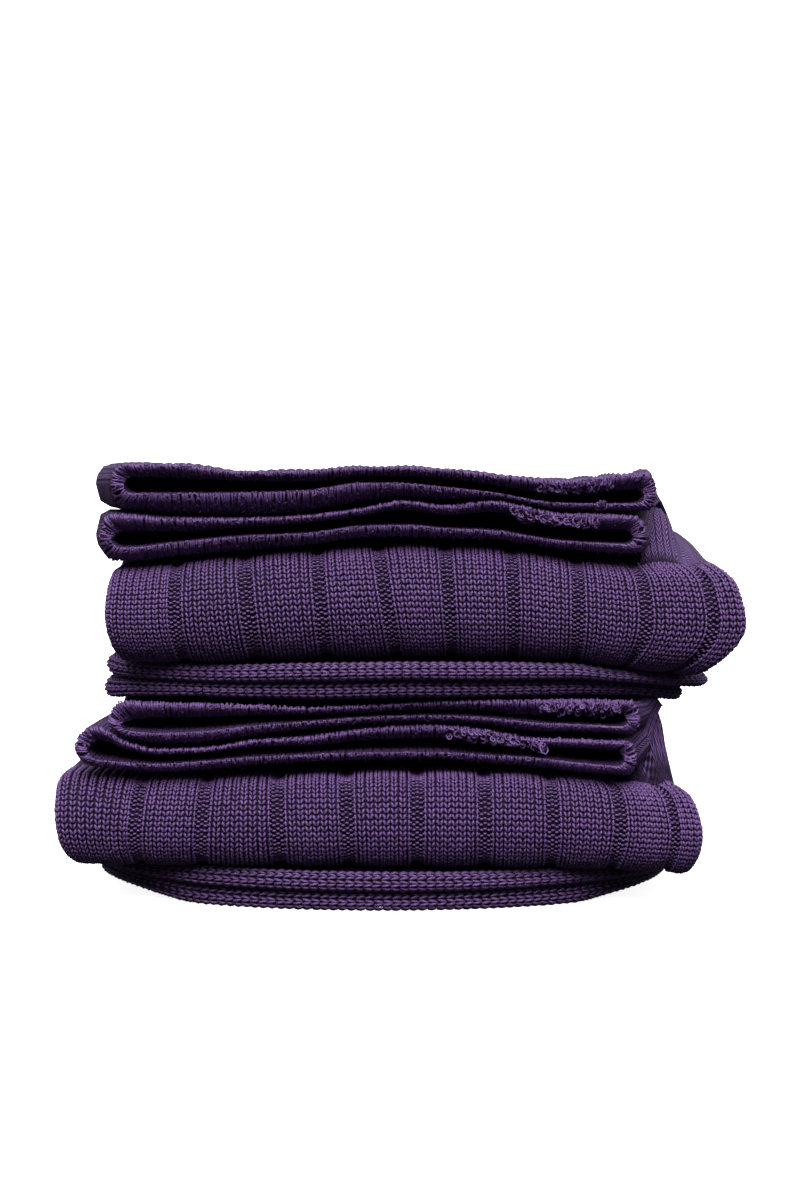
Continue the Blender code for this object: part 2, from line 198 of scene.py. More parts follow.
def smooth(xs, ys, x):
    """Smooth curve through the points, without overshoot between them."""
    xs, ys = np.asarray(xs, float), np.asarray(ys, float)
    x = np.clip(x, xs[0], xs[-1])
    steep = np.diff(ys) / np.diff(xs)
    a, b = steep[:-1], steep[1:]
    slope = np.zeros(len(xs))
    slope[1:-1] = np.where(a * b > 0, 2 * a * b / np.where(a + b == 0, 1.0, a + b), 0.0)
    k = np.clip(np.searchsorted(xs, x, side="right") - 1, 0, len(xs) - 2)
    h = xs[k + 1] - xs[k]
    u = (x - xs[k]) / h
    return (ys[k] * (1 + 2 * u) * (1 - u) ** 2 + h * slope[k] * u * (1 - u) ** 2
            + ys[k + 1] * u * u * (3 - 2 * u) + h * slope[k + 1] * u * u * (u - 1))


def height(pair, x, y, level):
    """Where a level of the pair lies above the floor, at places across and back."""
    shape = np.broadcast(x, y, level).shape
    x, y, level = (np.broadcast_to(v, shape).ravel() for v in (x, y, level))
    start, full, end, still_full = pair["slope_x"]
    slope = pair["right_slope"] * ease(start, full, x) * ease(end, still_full, x)
    slope = slope * ease(*pair["slope_y"], y) * ease(100.0, 60.0, y)
    level = level + slope * np.clip(1.0 - np.abs(level - 6.0) / 2.0, 0.0, 1.0)
    levels = np.array([row[0] for row in pair["heights"]])
    table = np.array([smooth(at, row, x) for _, at, row in pair["heights"]])
    k = np.clip(np.searchsorted(levels, level, side="right") - 1, 0, len(levels) - 2)
    i = np.arange(len(x))
    low, high = table[k, i], table[k + 1, i]
    front = low + (high - low) * (level - levels[k]) / (levels[k + 1] - levels[k])
    floor, top = pair["back_heights"]
    back = floor + (top - floor) * (level - GAP) / (LEVELS - 2 * GAP)
    behind = ease(*FRONT_ZONE, y)
    dip = pair["dip"] * ease(7.3, 8.0, level) * ease(4.5, 9.0, y) * ease(60.0, 30.0, y)
    return (front * (1 - behind) + back * behind - dip).reshape(shape)


# ---- the folded path -------------------------------------
def path(pair, sock, station):
    """Place back, level, and the direction to sock a's side, along the folded sock.

    Stations: 0 mouth, 1-2 upper back fold, 3-4 front fold, 5-6 lower back fold, 7 toe.
    """
    per = pair["depth_per_level"]
    up, low = (back - 2.0 * per for back in pair["back_y"])
    front = pair["fold_front_y"] + 2.0 * per
    toe = pair["toe_y"][sock]
    k = np.clip(np.floor(station).astype(int), 0, 6)
    u = station - k
    start = np.array([pair["mouth_y"], up, up, front, front, low, low])[k]
    end = np.array([up, up, front, front, low, low, toe])[k]
    level = np.array([7.0, 6.0, 5.0, 4.0, 3.0, 2.0, 1.0])[k]
    side = np.array([1, 1, -1, -1, 1, 1, -1])[k]
    folded = k % 2 == 1
    s, c = np.sin(math.pi * u), np.cos(math.pi * u)
    dy = np.where(folded, per * s, 0.0)
    dl = np.where(folded, side * c, side)
    y = np.where(folded, start + side * per * s, start + (end - start) * u)
    return y, level + np.where(folded, side * dl, 0.0), dy, dl


def place(pair, sock, station, x, out, fore=0.0):
    """A point of the sock: `out` levels from the tube's middle, `fore` nearer the front."""
    y, level, dy, dl = path(pair, sock, station)
    reach = (0.5 if sock == "a" else -0.5) + out
    y, level = y + dy * reach - fore, level + dl * reach
    z = height(pair, x, y, level)
    return np.stack(np.broadcast_arrays(x, y - MIDDLE_Y, z), -1)


def edges(pair, sock, station):
    """Left and right edge of the flattened tube."""
    column = 1 if sock == "a" else 2
    at = [row[0] for row in pair["edges"]]
    return [smooth(at, [row[column][side] for row in pair["edges"]], station) for side in (0, 1)]


def lay(pair, sock, station, wale):
    """Where a wale lies across the flattened tube, and how far round its edge, -1 to 1.

    The ribs keep their places as in the front fold, and only the outer ones follow the
    tube where it is narrower or wider.
    """
    left, right = edges(pair, sock, station)
    first, last = edges(pair, sock, np.array([3.5]))
    length = last - first - 2.0 * EDGE_ROUND + 2.0 * EDGE_ARC
    s = (wale - LEFT_TIP) / (RIGHT_TIP - LEFT_TIP) * length
    nearest = np.minimum(s, length - s)
    turn = 0.5 * math.pi * np.minimum(nearest / EDGE_ARC, 1.0)
    inside = np.where(nearest < EDGE_ARC, EDGE_ROUND * (1.0 - np.cos(turn)),
                      EDGE_ROUND + nearest - EDGE_ARC)
    x = np.where(s < 0.5 * length, first + inside, last - inside)
    at = [LEFT_TIP, *WALES_PER_RIB * np.arange(FURROWS), RIGHT_TIP]
    x = x + smooth(at, [0.0, *pair["rib_shift"], 0.0], wale)
    x = x + smooth(at, [0.0, *pair["rib_lean"], 0.0], wale) * (ease(3.0, 4.0, station) - 0.5)
    x = x + (left - first) * ease(24.0, 1.5, x - first) + (right - last) * ease(24.0, 1.5, last - x)
    return x, np.sin(turn)


def drawn_in(pair, sock, station, x):
    """The same place inside the slit, which ends a wall's thickness short of the tube's edges."""
    left, right = edges(pair, sock, station)
    return x + SLIT_SIDE_WALL * (ease(7.0, 0.0, x - left) - ease(7.0, 0.0, right - x))


def from_furrow(wale):
    """How far a wale lies to the right of the nearest furrow's middle, in wales."""
    return (wale + 0.5 * WALES_PER_RIB) % WALES_PER_RIB - 0.5 * WALES_PER_RIB


def furrow(wale):
    """Depth by wale, in mm: purl furrows, with rounded ribs between."""
    off = np.abs(from_furrow(wale))
    inner = (wale > -2.0) & (wale < FURROWS * WALES_PER_RIB - 6.0)
    crown = RIB_CROWN * (1.0 - np.sin(math.pi * off / WALES_PER_RIB)) ** 1.5
    return (FURROW_DEPTH * ease(1.15, 0.7, off) + crown) * inner


def ribbed(station):
    """How strongly the ribs stand at a station: none on the welt, nor on the foot."""
    return ease(0.06, 0.14, station) * ease(6.5, 6.0, station)


def skin(pair, sock, side, station, wale):
    """The outer face of a sock, on sock a's side (+1) or sock b's side (-1) of its path."""
    x, share = lay(pair, sock, station, wale)
    depth = furrow(wale) * ribbed(station) / pair["depth_per_level"]
    return place(pair, sock, station, x, side * share * (HALF - depth))


def unit(vectors):
    """The same directions, each of length 1."""
    return vectors / (np.linalg.norm(vectors, axis=-1, keepdims=True) + 1e-12)


def surface_on(pair, sock, side, station, wale):
    """Point and outward normal on the outer face of a sock."""
    point = skin(pair, sock, side, station, wale)
    step = 0.004
    along = skin(pair, sock, side, station + step, wale) - skin(pair, sock, side, station - step, wale)
    across = skin(pair, sock, side, station, wale + 0.3) - skin(pair, sock, side, station, wale - 0.3)
    normal = unit(np.cross(across, along))
    # roughly outwards: away from the path, and sideways where the tube rounds its edge
    _, share = lay(pair, sock, station, wale)
    _, _, dy, dl = path(pair, sock, station)
    sideways = np.where(wale > 30.0, 3.0, -3.0) * (1.0 - np.abs(share))
    out = np.stack(np.broadcast_arrays(sideways, dy * side, dl * side), -1)
    return point, normal * np.sign(np.sum(normal * out, -1, keepdims=True))


# ---- meshes ----------------------------------------------
def make(name, points, quads, tris, material, uv, values):
    """A piece from arrays: points in mm, faces turned outwards, a UV and named values per point."""
    quads, tris = np.asarray(quads, int).reshape(-1, 4), np.asarray(tris, int).reshape(-1, 3)
    points[:, 2] = np.maximum(points[:, 2], 0.0)
    halves = np.concatenate([quads[:, [0, 1, 2]], quads[:, [0, 2, 3]], tris])
    a, b, c = (points[halves[:, i]] for i in range(3))
    if np.sum(a * np.cross(b, c)) < 0:
        quads, tris = quads[:, ::-1], tris[:, ::-1]
    corners = np.concatenate([quads.ravel(), tris.ravel()])
    starts = np.concatenate([4 * np.arange(len(quads)), 4 * len(quads) + 3 * np.arange(len(tris))])
    mesh = bpy.data.meshes.new(name)
    mesh.vertices.add(len(points))
    mesh.vertices.foreach_set("co", (points * MM).ravel())
    mesh.loops.add(len(corners))
    mesh.loops.foreach_set("vertex_index", corners.astype(np.int32))
    mesh.polygons.add(len(starts))
    mesh.polygons.foreach_set("loop_start", starts.astype(np.int32))
    mesh.uv_layers.new(name="knit").data.foreach_set("uv", uv[corners].astype(np.float32).ravel())
    for key, value in values.items():
        mesh.attributes.new(key, "FLOAT", "POINT").data.foreach_set("value", value.astype(np.float32))
    mesh.update(calc_edges=True)
    mesh.shade_smooth()
    mesh.materials.append(material)
    piece = bpy.data.objects.new(name, mesh)
    bpy.context.scene.collection.objects.link(piece)
    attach(piece, "root")
    return piece


def strands(centre, normal, width, tall):
    """Short yarns: centre lines (strands, stops, 3), closed at both ends, oval across."""
    sides = 4
    count, stops = centre.shape[:2]
    along = unit(np.gradient(centre, axis=1))
    aside = unit(np.cross(along, normal))
    up = np.cross(aside, along)
    turn = 2.0 * math.pi * np.arange(sides) / sides
    width, tall = (np.broadcast_to(v, (count, stops))[:, 1:-1, None, None] for v in (width, tall))
    rings = (centre[:, 1:-1, None] + aside[:, 1:-1, None] * width * np.cos(turn)[:, None]
             + up[:, 1:-1, None] * tall * np.sin(turn)[:, None])
    n = (stops - 2) * sides + 2
    points = np.concatenate([centre[:, :1], rings.reshape(count, -1, 3), centre[:, -1:]], 1)
    quads, tris = [], []
    for i in range(sides):
        j = (i + 1) % sides
        tris += [(0, 1 + i, 1 + j), (n - 1, n - 1 - sides + j, n - 1 - sides + i)]
        quads += [(start + i, start + sides + i, start + sides + j, start + j)
                  for start in range(1, 1 + (stops - 3) * sides, sides)]
    shift = n * np.arange(count)[:, None, None]
    around = np.tile(np.arange(sides) / sides, stops - 2)
    lengthwise = np.repeat(np.arange(1, stops - 1), sides) / (stops - 1.0)
    uv = np.column_stack([np.concatenate([[0], around, [0]]), np.concatenate([[0], lengthwise, [1]])])
    return (points.reshape(-1, 3), np.array(quads)[None] + shift, np.array(tris)[None] + shift,
            np.tile(uv, (count, 1)), n)


def make_yarns(name, parts):
    """One piece of several sets of strands, each with how light its yarns are, which on the toes is painted
    shade and on the lips painted light.
    """
    points, quads, tris, uvs, shades, base = [], [], [], [], [], 0
    for (p, q, t, uv, n), shade in parts:
        points.append(p)
        quads.append(q.reshape(-1, 4) + base)
        tris.append(t.reshape(-1, 3) + base)
        uvs.append(uv)
        shades.append(np.repeat(shade, n))
        base += len(p)
    points, quads, tris, uv, shade = (np.concatenate(v) for v in (points, quads, tris, uvs, shades))
    return make(name, points, quads, tris, YARN_MATERIAL, uv, {"shade": shade})


# ---- materials -------------------------------------------
def colour(code):
    """sRGB hex to linear."""
    parts = [int(code[i:i + 2], 16) / 255.0 for i in (1, 3, 5)]
    return (*[v / 12.92 if v <= 0.04045 else ((v + 0.055) / 1.055) ** 2.4 for v in parts], 1.0)


def add(tree, kind, inputs=None, **settings):
    """One node with its settings; an input takes a value, an output, or a node for its first one."""
    made = tree.nodes.new("ShaderNode" + kind)
    for key, value in settings.items():
        setattr(made, key, value)
    for key, value in (inputs or {}).items():
        if isinstance(value, bpy.types.Node):
            value = value.outputs[0]
        if isinstance(value, bpy.types.NodeSocket):
            tree.links.new(value, made.inputs[key])
        else:
            made.inputs[key].default_value = value
    return made


def new_material(name, roughness, sheen):
    """Cotton of this roughness, with a faint bloom from its loose fibres."""
    material = bpy.data.materials.new(name)
    material.use_nodes = True
    shader = material.node_tree.nodes["Principled BSDF"]
    shader.inputs["Roughness"].default_value = roughness
    shader.inputs["IOR"].default_value = 1.45
    shader.inputs["Specular IOR Level"].default_value = 0.35
    shader.inputs["Sheen Weight"].default_value = sheen
    shader.inputs["Sheen Roughness"].default_value = 0.4
    shader.inputs["Sheen Tint"].default_value = colour("#9C7FBE")
    return material, material.node_tree, shader


def knit_map(tree):
    """The two places of the knit's map: wale and course, or round and along a yarn."""
    uv = add(tree, "UVMap", uv_map="knit")
    return add(tree, "SeparateXYZ", {0: uv}).outputs[:2]


def uneven_shade(tree, amount):
    """The piece's shade attribute, which holds painted light and shade in places, made uneven by the dyeing
    and by fibre in clumps of about 0.3 mm.
    """
    shade = add(tree, "Attribute", attribute_name="shade")
    spots = add(tree, "TexCoord")
    clumps = add(tree, "TexNoise", {"Vector": spots.outputs["Object"], "Scale": 3.3 / MM, "Detail": 2.0})
    return add(tree, "Math", {0: clumps, 1: amount, 2: shade.outputs["Fac"]}, operation="MULTIPLY_ADD")


def dye_and_painted_light(tree, shader, tone, dark, light, relief, strength, depth):
    """Colour from dark to light by the tone, which holds painted light and shade as well as uneven colour,
    and a relief of this depth in mm.
    """
    mix = add(tree, "Mix", {0: tone, 6: colour(dark), 7: colour(light)}, data_type="RGBA")
    tree.links.new(mix.outputs[2], shader.inputs["Base Color"])
    bump = add(tree, "Bump", {"Strength": strength, "Distance": depth * MM, "Height": relief})
    tree.links.new(bump.outputs[0], shader.inputs["Normal"])


def cotton_yarn():
    """Mercerised cotton, dyed aubergine and ring spun: a soft gloss, and painted shade between its plies."""
    material, tree, shader = new_material("mercerised_cotton_yarn", 0.42, 0.1)
    around, along = knit_map(tree)
    # two plies turn round the yarn about every 0.4 mm
    turns = add(tree, "Math", {0: along, 1: 5.0, 2: around}, operation="MULTIPLY_ADD")
    wave = add(tree, "Math", {0: turns, 1: 0.5}, operation="PINGPONG")
    ply = add(tree, "MapRange", {0: wave, 1: 0.0, 2: 0.25, 3: 0.0, 4: 1.0})
    # the colour is painted darker between the plies: painted shade in their grooves
    tone = add(tree, "Math", {0: ply, 1: 0.18, 2: uneven_shade(tree, 0.5)}, operation="MULTIPLY_ADD")
    dye_and_painted_light(tree, shader, tone, "#2B1D37", "#5D4174", ply, 0.35, 0.06)
    return material


def rib_knit():
    """Fine six by two rib in the same cotton: columns of V stitches, purl furrows between."""
    material, tree, shader = new_material("fine_rib_knit_cotton", 0.6, 0.04)
    shader.inputs["Specular Tint"].default_value = colour("#A98CCB")
    # the map counts wales of 1.0 mm and courses of 0.8 mm
    wale, course = knit_map(tree)
    # plain stitches: in each wale two legs slope to meet in a V, and the colour is painted dark off the legs,
    # in the V's middle and between wales: painted shade in the knit's gaps
    across = add(tree, "Math", {0: wale, 1: 0.5}, operation="PINGPONG")
    slant = add(tree, "Math", {0: across, 1: -3.9, 2: course}, operation="MULTIPLY_ADD")
    leg = add(tree, "Math", {0: slant, 1: 0.5}, operation="PINGPONG")
    leg = add(tree, "MapRange", {0: leg, 1: 0.05, 2: 0.38, 3: 0.0, 4: 1.0},
              interpolation_type="SMOOTHSTEP")
    border = add(tree, "MapRange", {0: across, 1: 0.03, 2: 0.16, 3: 0.0, 4: 1.0},
                 interpolation_type="SMOOTHSTEP")
    centre = add(tree, "MapRange", {0: across, 1: 0.5, 2: 0.40, 3: 0.35, 4: 1.0},
                 interpolation_type="SMOOTHSTEP")
    plain = add(tree, "Math", {0: leg, 1: border}, operation="MULTIPLY")
    plain = add(tree, "Math", {0: plain, 1: centre}, operation="MULTIPLY")
    # purl stitches: small beads, half a course off from one to the next across, painted dark between them:
    # painted shade
    beads = []
    for counted, beads_each in ((wale, 1.2), (course, 1.0)):
        angle = add(tree, "Math", {0: counted, 1: 2.0 * math.pi * beads_each}, operation="MULTIPLY")
        beads.append(add(tree, "Math", {0: angle}, operation="COSINE"))
    purl = add(tree, "Math", {0: beads[0], 1: beads[1]}, operation="MULTIPLY")
    purl = add(tree, "MapRange", {0: purl, 1: -0.5, 2: 0.8, 3: 0.0, 4: 0.8},
               interpolation_type="SMOOTHSTEP")
    ribs = add(tree, "Attribute", attribute_name="purl")
    weave = add(tree, "Mix", {0: ribs.outputs["Fac"], 2: plain, 3: purl}, data_type="FLOAT")
    # the weave sets both the relief and the colour, so its dark gaps are painted shade
    tone = add(tree, "Math", {0: weave, 1: uneven_shade(tree, 0.35)}, operation="MULTIPLY")
    dye_and_painted_light(tree, shader, tone, "#17111C", "#70548B", weave, 0.9, 0.22)
    return material


YARN_MATERIAL = cotton_yarn()
KNIT_MATERIAL = rib_knit()
chance = np.random.default_rng(7)


def uneven(size, *shape):
    """Small differences from stitch to stitch."""
    return size * chance.standard_normal(shape)


# ---- the lip round a cuff's mouth ------------------------
LIP = 0.75                    # how far a lip is rounded forward, in mm
UNDERCUT = 1.2                # how far the low side of each lip lies back, against its height
DEEPEST_UNDERCUT = 2.7        # in mm


def recess(pair, x):
    """How far the lips lie back, most of all near the middle of the mouth."""
    return pair["recess"] * np.exp(-((x - 1.0) / 21.0) ** 2)


def wall_height(pair, sock, x, upper_wall):
    """Thickness in mm of the upper or lower wall of an open mouth."""
    middle = 7.5 if sock == "a" else 6.5
    wall = np.where(upper_wall, 1.0, -1.0)
    outer, inner = (height(pair, x, pair["mouth_y"], middle + wall * out) for out in (HALF, SLIT))
    return np.abs(outer - inner)


def levels_a_mm(pair, sock, x, upper_wall):
    """What a millimetre up or down is there in levels."""
    return (HALF - SLIT) / np.maximum(wall_height(pair, sock, x, upper_wall), 0.8)


def lip_line(pair, sock, x, over, upper_wall, share):
    """How far forward a lip stands, from the outer face (0) over to the slit (1)."""
    rise = np.where(upper_wall, 1.0 - over, over)
    flat = np.abs(share)
    crest = np.sin(math.pi * rise ** 1.6) * flat + np.sin(math.pi * over) * (1.0 - flat)
    back = np.minimum(UNDERCUT * wall_height(pair, sock, x, upper_wall), DEEPEST_UNDERCUT)
    back = back * (0.5 + 0.5 * np.cos(math.pi * rise)) ** 1.1 * flat
    return LIP * (crest - 1.0) - back - recess(pair, x)


# ---- the knitted tube of one sock ------------------------
# how light the knit's colour is: painted shade under stitches of its own, plain outside, painted light on the
# climb, painted shade under a lip, painted light inside
PAINTED_SHADE_UNDER_STITCHES, OUTSIDE, PAINTED_LIGHT_ON_CLIMB, PAINTED_SHADE_UNDER_LIP, PAINTED_LIGHT_INSIDE = -0.1, 0.6, 1.0, 0.08, 1.0
POCKET_COUNT = 96             # points round the inner face

# rows of points along each stretch of a sock, more where it shows
DETAIL = {
    ("lower", "a"): dict(foot=14, low_fold=22, third=5, front=10, climb=3, second=4, up_fold=22, top=12),
    ("lower", "b"): dict(foot=8, low_fold=10, third=6, front=30, climb=12, second=5, up_fold=10, top=8),
    ("upper", "a"): dict(foot=14, low_fold=22, third=5, front=10, climb=3, second=4, up_fold=22, top=34),
    ("upper", "b"): dict(foot=8, low_fold=10, third=6, front=30, climb=12, second=5, up_fold=10, top=8),
}


def top_length(pair):
    """From the mouth back to the upper back fold, in mm."""
    return pair["back_y"][0] - 2.0 * pair["depth_per_level"] - pair["mouth_y"]


def station_rows(pair, detail):
    """Stations of a shell from the toe to the mouth, closer where it shows."""
    length = top_length(pair)
    rows = [7.0 - pair["toe_round"] * (1.0 - math.cos(0.5 * math.pi * i / 20.0)) / length
            for i in range(1, 21)]
    spans = [(6.0, rows[-1], detail["foot"]), (5.0, 6.0, detail["low_fold"]), (4.0, 5.0, detail["third"]),
             (3.0, 4.0, detail["front"]), (2.84, 3.0, detail["climb"]),
             (2.0, 2.84, detail["second"]), (1.0, 2.0, detail["up_fold"]),
             (14.0 / length, 1.0, detail["top"]),
             ((3.4 + pair["recess"]) / length, 14.0 / length, 5)]
    for start, end, count in spans:
        rows += list(np.linspace(end, start, count + 1)[1:])
    return rows


def run_of(line):
    """How far along a line of points each of them lies."""
    return np.concatenate([[0.0], np.cumsum(np.linalg.norm(np.diff(line, axis=0), axis=1))])


def travel(pair, sock, stations):
    """Length of knit from the mouth to each station, in courses."""
    fine = np.linspace(0.0, 7.0, 1401)
    line = place(pair, sock, fine, np.zeros_like(fine), np.zeros_like(fine))
    return np.interp(stations, fine, run_of(line)) / COURSE


def ring_quads(grid):
    """Faces between each closed row of points and the next."""
    beside = np.roll(grid, -1, 1)
    return np.stack([grid[:-1], beside[:-1], beside[1:], grid[1:]], -1).reshape(-1, 4)


def zip_rings(first, second, turn_a, turn_b):
    """Skin two closed sections of different counts, walking round both by turn."""
    tris, i, j, n, m = [], 0, 0, len(first), len(second)
    while i < n or j < m:
        next_a = turn_a[i + 1] if i + 1 < n else (1.0 if i < n else 9.0)
        next_b = turn_b[j + 1] if j + 1 < m else (1.0 if j < m else 9.0)
        if next_a <= next_b:
            tris.append((first[i % n], first[(i + 1) % n], second[j % m]))
            i += 1
        else:
            tris.append((first[i % n], second[(j + 1) % m], second[j % m]))
            j += 1
    return tris


def round_toe(pair, x, left, right, back, depth):
    """Across and out on the end of the foot, a half ellipse from above and thin at its edge."""
    fore = 1.0 - back / (pair["toe_round"] - UNDER)
    middle, half = 0.5 * (left + right), 0.5 * (right - left) - UNDER
    reach = half * math.sqrt(max(0.0, 1.0 - fore * fore))
    across = (x - middle) / (half + UNDER) * reach
    inside = 1.0 - fore * fore - (across / half) ** 2
    inside = inside / (2.0 * np.hypot(fore / pair["toe_round"], across / half ** 2))
    thick = np.sqrt(np.maximum(0.0, 1.0 - np.maximum(0.0, 1.0 - inside / EDGE_ROUND) ** 2))
    return middle + across, thick * (HALF - depth - 0.12 * ease(4.5, 2.0, inside))


def pocket(pair, sock):
    """The inner face down to the start of the toe: its rows, their map and places round."""
    side = 1 if sock == "a" else -1
    length = top_length(pair)
    around = np.arange(POCKET_COUNT) / POCKET_COUNT
    u = LEFT_TIP + around * WALES_ROUND
    wale = np.where(around < 0.5, u, 2.0 * RIGHT_TIP - u)
    face = np.where(around < 0.5, side, -side)
    stations = np.concatenate([
        np.array([8.0, 11.0, 16.0, 22.0]) / length, np.linspace(0.3, 0.9, 5), np.linspace(1.0, 2.0, 9),
        np.linspace(2.15, 2.9, 5), np.linspace(3.0, 4.0, 9), np.linspace(4.15, 4.9, 5),
        np.linspace(5.0, 6.0, 9), np.linspace(6.15, 7.0 - 1.2 * pair["toe_round"] / length, 4)])
    rows, uv = [], []
    for station, course in zip(stations, travel(pair, sock, stations)):
        s = np.full(POCKET_COUNT, station)
        x, share = lay(pair, sock, s, wale)
        x = drawn_in(pair, sock, s, x)
        # the slit closes 24 mm in, and the two layers lie shut on each other from there
        gape = 0.05 + (SLIT - 0.05) * (1.0 - float(ease(2.0 / length, 24.0 / length, station)))
        rows.append(place(pair, sock, s, x, face * share * gape))
        uv.append(np.column_stack([u, np.full(POCKET_COUNT, course)]))
    return np.concatenate(rows), np.concatenate(uv), around


def shell(pair, sock, stations):
    """The sock as knitted: outer face, lip round the mouth and the inner face to the toe."""
    side = 1 if sock == "a" else -1
    shown = np.concatenate([[LEFT_TIP], np.arange(math.ceil(LEFT_TIP), RIGHT_TIP, 0.5)])
    hidden = np.linspace(RIGHT_TIP, LEFT_TIP, 61)[:-1]
    wale = np.concatenate([shown, hidden])
    n = len(wale)
    face = np.repeat([side, -side], [len(shown), len(hidden)])
    u = np.where(face == side, wale, 2.0 * RIGHT_TIP - wale)
    around = (u - LEFT_TIP) / WALES_ROUND
    purl = ease(1.25, 0.95, np.abs(from_furrow(u)))
    # each wale stands up a little, with a gap beside it
    between = 0.52 * np.maximum(np.abs(wale % 1.0 - 0.5) - 0.25, 0.0)
    # where the front fold climbs beside the cuffs the knit is painted lighter: painted light there
    light = np.where(wale > CLIMB_WALE, PAINTED_LIGHT_ON_CLIMB, OUTSIDE)
    length = top_length(pair)
    rows = []

    def add_row(points, course, ribs, shade):
        rows.append((points, np.column_stack([u, np.full(n, course)]), purl * ribs,
                     np.broadcast_to(shade, n)))

    for station, course in zip(stations, travel(pair, sock, np.array(stations))):
        s = np.full(n, station)
        x, share = lay(pair, sock, s, wale)
        ribs = ribbed(station)
        # the tube lies deeper under the lip's yarns, and under the stitches of the front fold
        low = np.full(n, 0.30 * ease(0.035, 0.01, station))
        if sock == "b":
            first, last = np.where(u < CLIMB_WALE, 2.93, 3.01), 4.16
            low = low + 0.38 * ease(first - 0.04, first, station) * ease(last + 0.04, last, station)
        depth = furrow(u) * ribs + np.where(face == side, between + low, 0.0)
        depth = depth / pair["depth_per_level"]
        back = (7.0 - station) * length
        if station > 7.0 - pair["toe_round"] / length:
            left, right = edges(pair, sock, s)
            x, out = round_toe(pair, x, left, right, back, depth)
            s = s - UNDER / length * ease(8.0, 4.0, back)
        else:
            out = share * (HALF - depth)
        # the tube under the front fold's stitches and under the toe is painted dark: painted shade in the
        # gaps between stitches
        shade = np.where((low > 0.1) | (station > 6.9), PAINTED_SHADE_UNDER_STITCHES, light)
        add_row(place(pair, sock, s, x, face * out), course, ribs, shade)

    # the lip: from the outer face over a rounded front into the slit, just under its yarns
    zero = np.zeros(n)
    x_out, share = lay(pair, sock, zero, wale)
    x_in = drawn_in(pair, sock, zero, x_out)
    under = 0.2 * levels_a_mm(pair, sock, x_out, face > 0)
    # the lip's rows are painted dark: painted shade in the gaps between the lip's yarns
    for i, over in enumerate(np.linspace(0.1, 1.0, 7)):
        mix = 0.5 - 0.5 * math.cos(math.pi * over)
        fore = lip_line(pair, sock, x_out, over, face > 0, share) - 0.3
        out = face * share * ((HALF - under) * (1 - mix) + SLIT * mix)
        add_row(place(pair, sock, zero, x_out + (x_in - x_out) * mix, out, fore), -0.3 * i, 0.0, PAINTED_SHADE_UNDER_LIP)
    # the slit's inner face is painted lighter than the outside: painted light in the shaded slit
    add_row(place(pair, sock, zero, x_in, face * SLIT * share, -3.8 - recess(pair, x_in)), -4.0, 0.0, PAINTED_LIGHT_INSIDE)
    points, uv, ribs, shade = (np.concatenate(column) for column in zip(*rows))
    grid = np.arange(len(points)).reshape(-1, n)

    # rows run from the toe to the mouth; one point closes the toe
    tip_at = np.array([7.0])
    left, right = edges(pair, sock, tip_at)
    tip = place(pair, sock, tip_at, 0.5 * (left + right), np.zeros(1))
    tris = [(len(points), grid[0, (i + 1) % n], grid[0, i]) for i in range(n)]

    # the inner face hangs on the lip, and its own end is closed
    inner, inner_uv, inner_around = pocket(pair, sock)
    inner_grid = len(points) + 1 + np.arange(len(inner)).reshape(-1, POCKET_COUNT)
    tris += zip_rings(list(grid[-1]), list(inner_grid[0]), around, inner_around)
    end, half = inner_grid[-1], POCKET_COUNT // 2
    closing = [(end[i], end[i + 1], end[-i - 1], end[-i]) for i in range(1, half - 1)]
    tris += [(end[0], end[1], end[-1]), (end[half - 1], end[half], end[half + 1])]

    points = np.concatenate([points, tip, inner])
    uv = np.concatenate([uv, [[30.0, 560.0]], inner_uv])
    ribs = np.concatenate([ribs, np.zeros(1 + len(inner))])
    # the inner face and the toe's closing point are painted as light as the slit: painted light
    shade = np.concatenate([shade, np.full(1 + len(inner), PAINTED_LIGHT_INSIDE)]) + uneven(0.06, len(points))
    quads = np.concatenate([ring_quads(grid), ring_quads(inner_grid), closing])
    return make(f"{pair['name']}_sock_{sock}_knit", points, quads, tris, KNIT_MATERIAL, uv,
                {"shade": shade, "purl": ribs})


# ---- stitches of the front fold --------------------------
def course_stations(pair):
    """A function from course, counted down from the top of the front fold, to station."""
    fine = np.linspace(2.7, 4.3, 801)
    run = run_of(skin(pair, "b", -1, fine, np.full_like(fine, 28.0)))
    run -= np.interp(3.0, fine, run)
    return lambda course: np.interp(course * COURSE, run, fine)


def each_stitch(wales, courses):
    """Every wale with every course, but none above the fold where it climbs beside the cuffs."""
    wale, course = (v.reshape(-1, 1) for v in np.meshgrid(wales, courses, indexing="ij"))
    kept = ((wale < CLIMB_WALE) | (course >= 0))[:, 0]
    return wale[kept], course[kept], int(kept.sum())


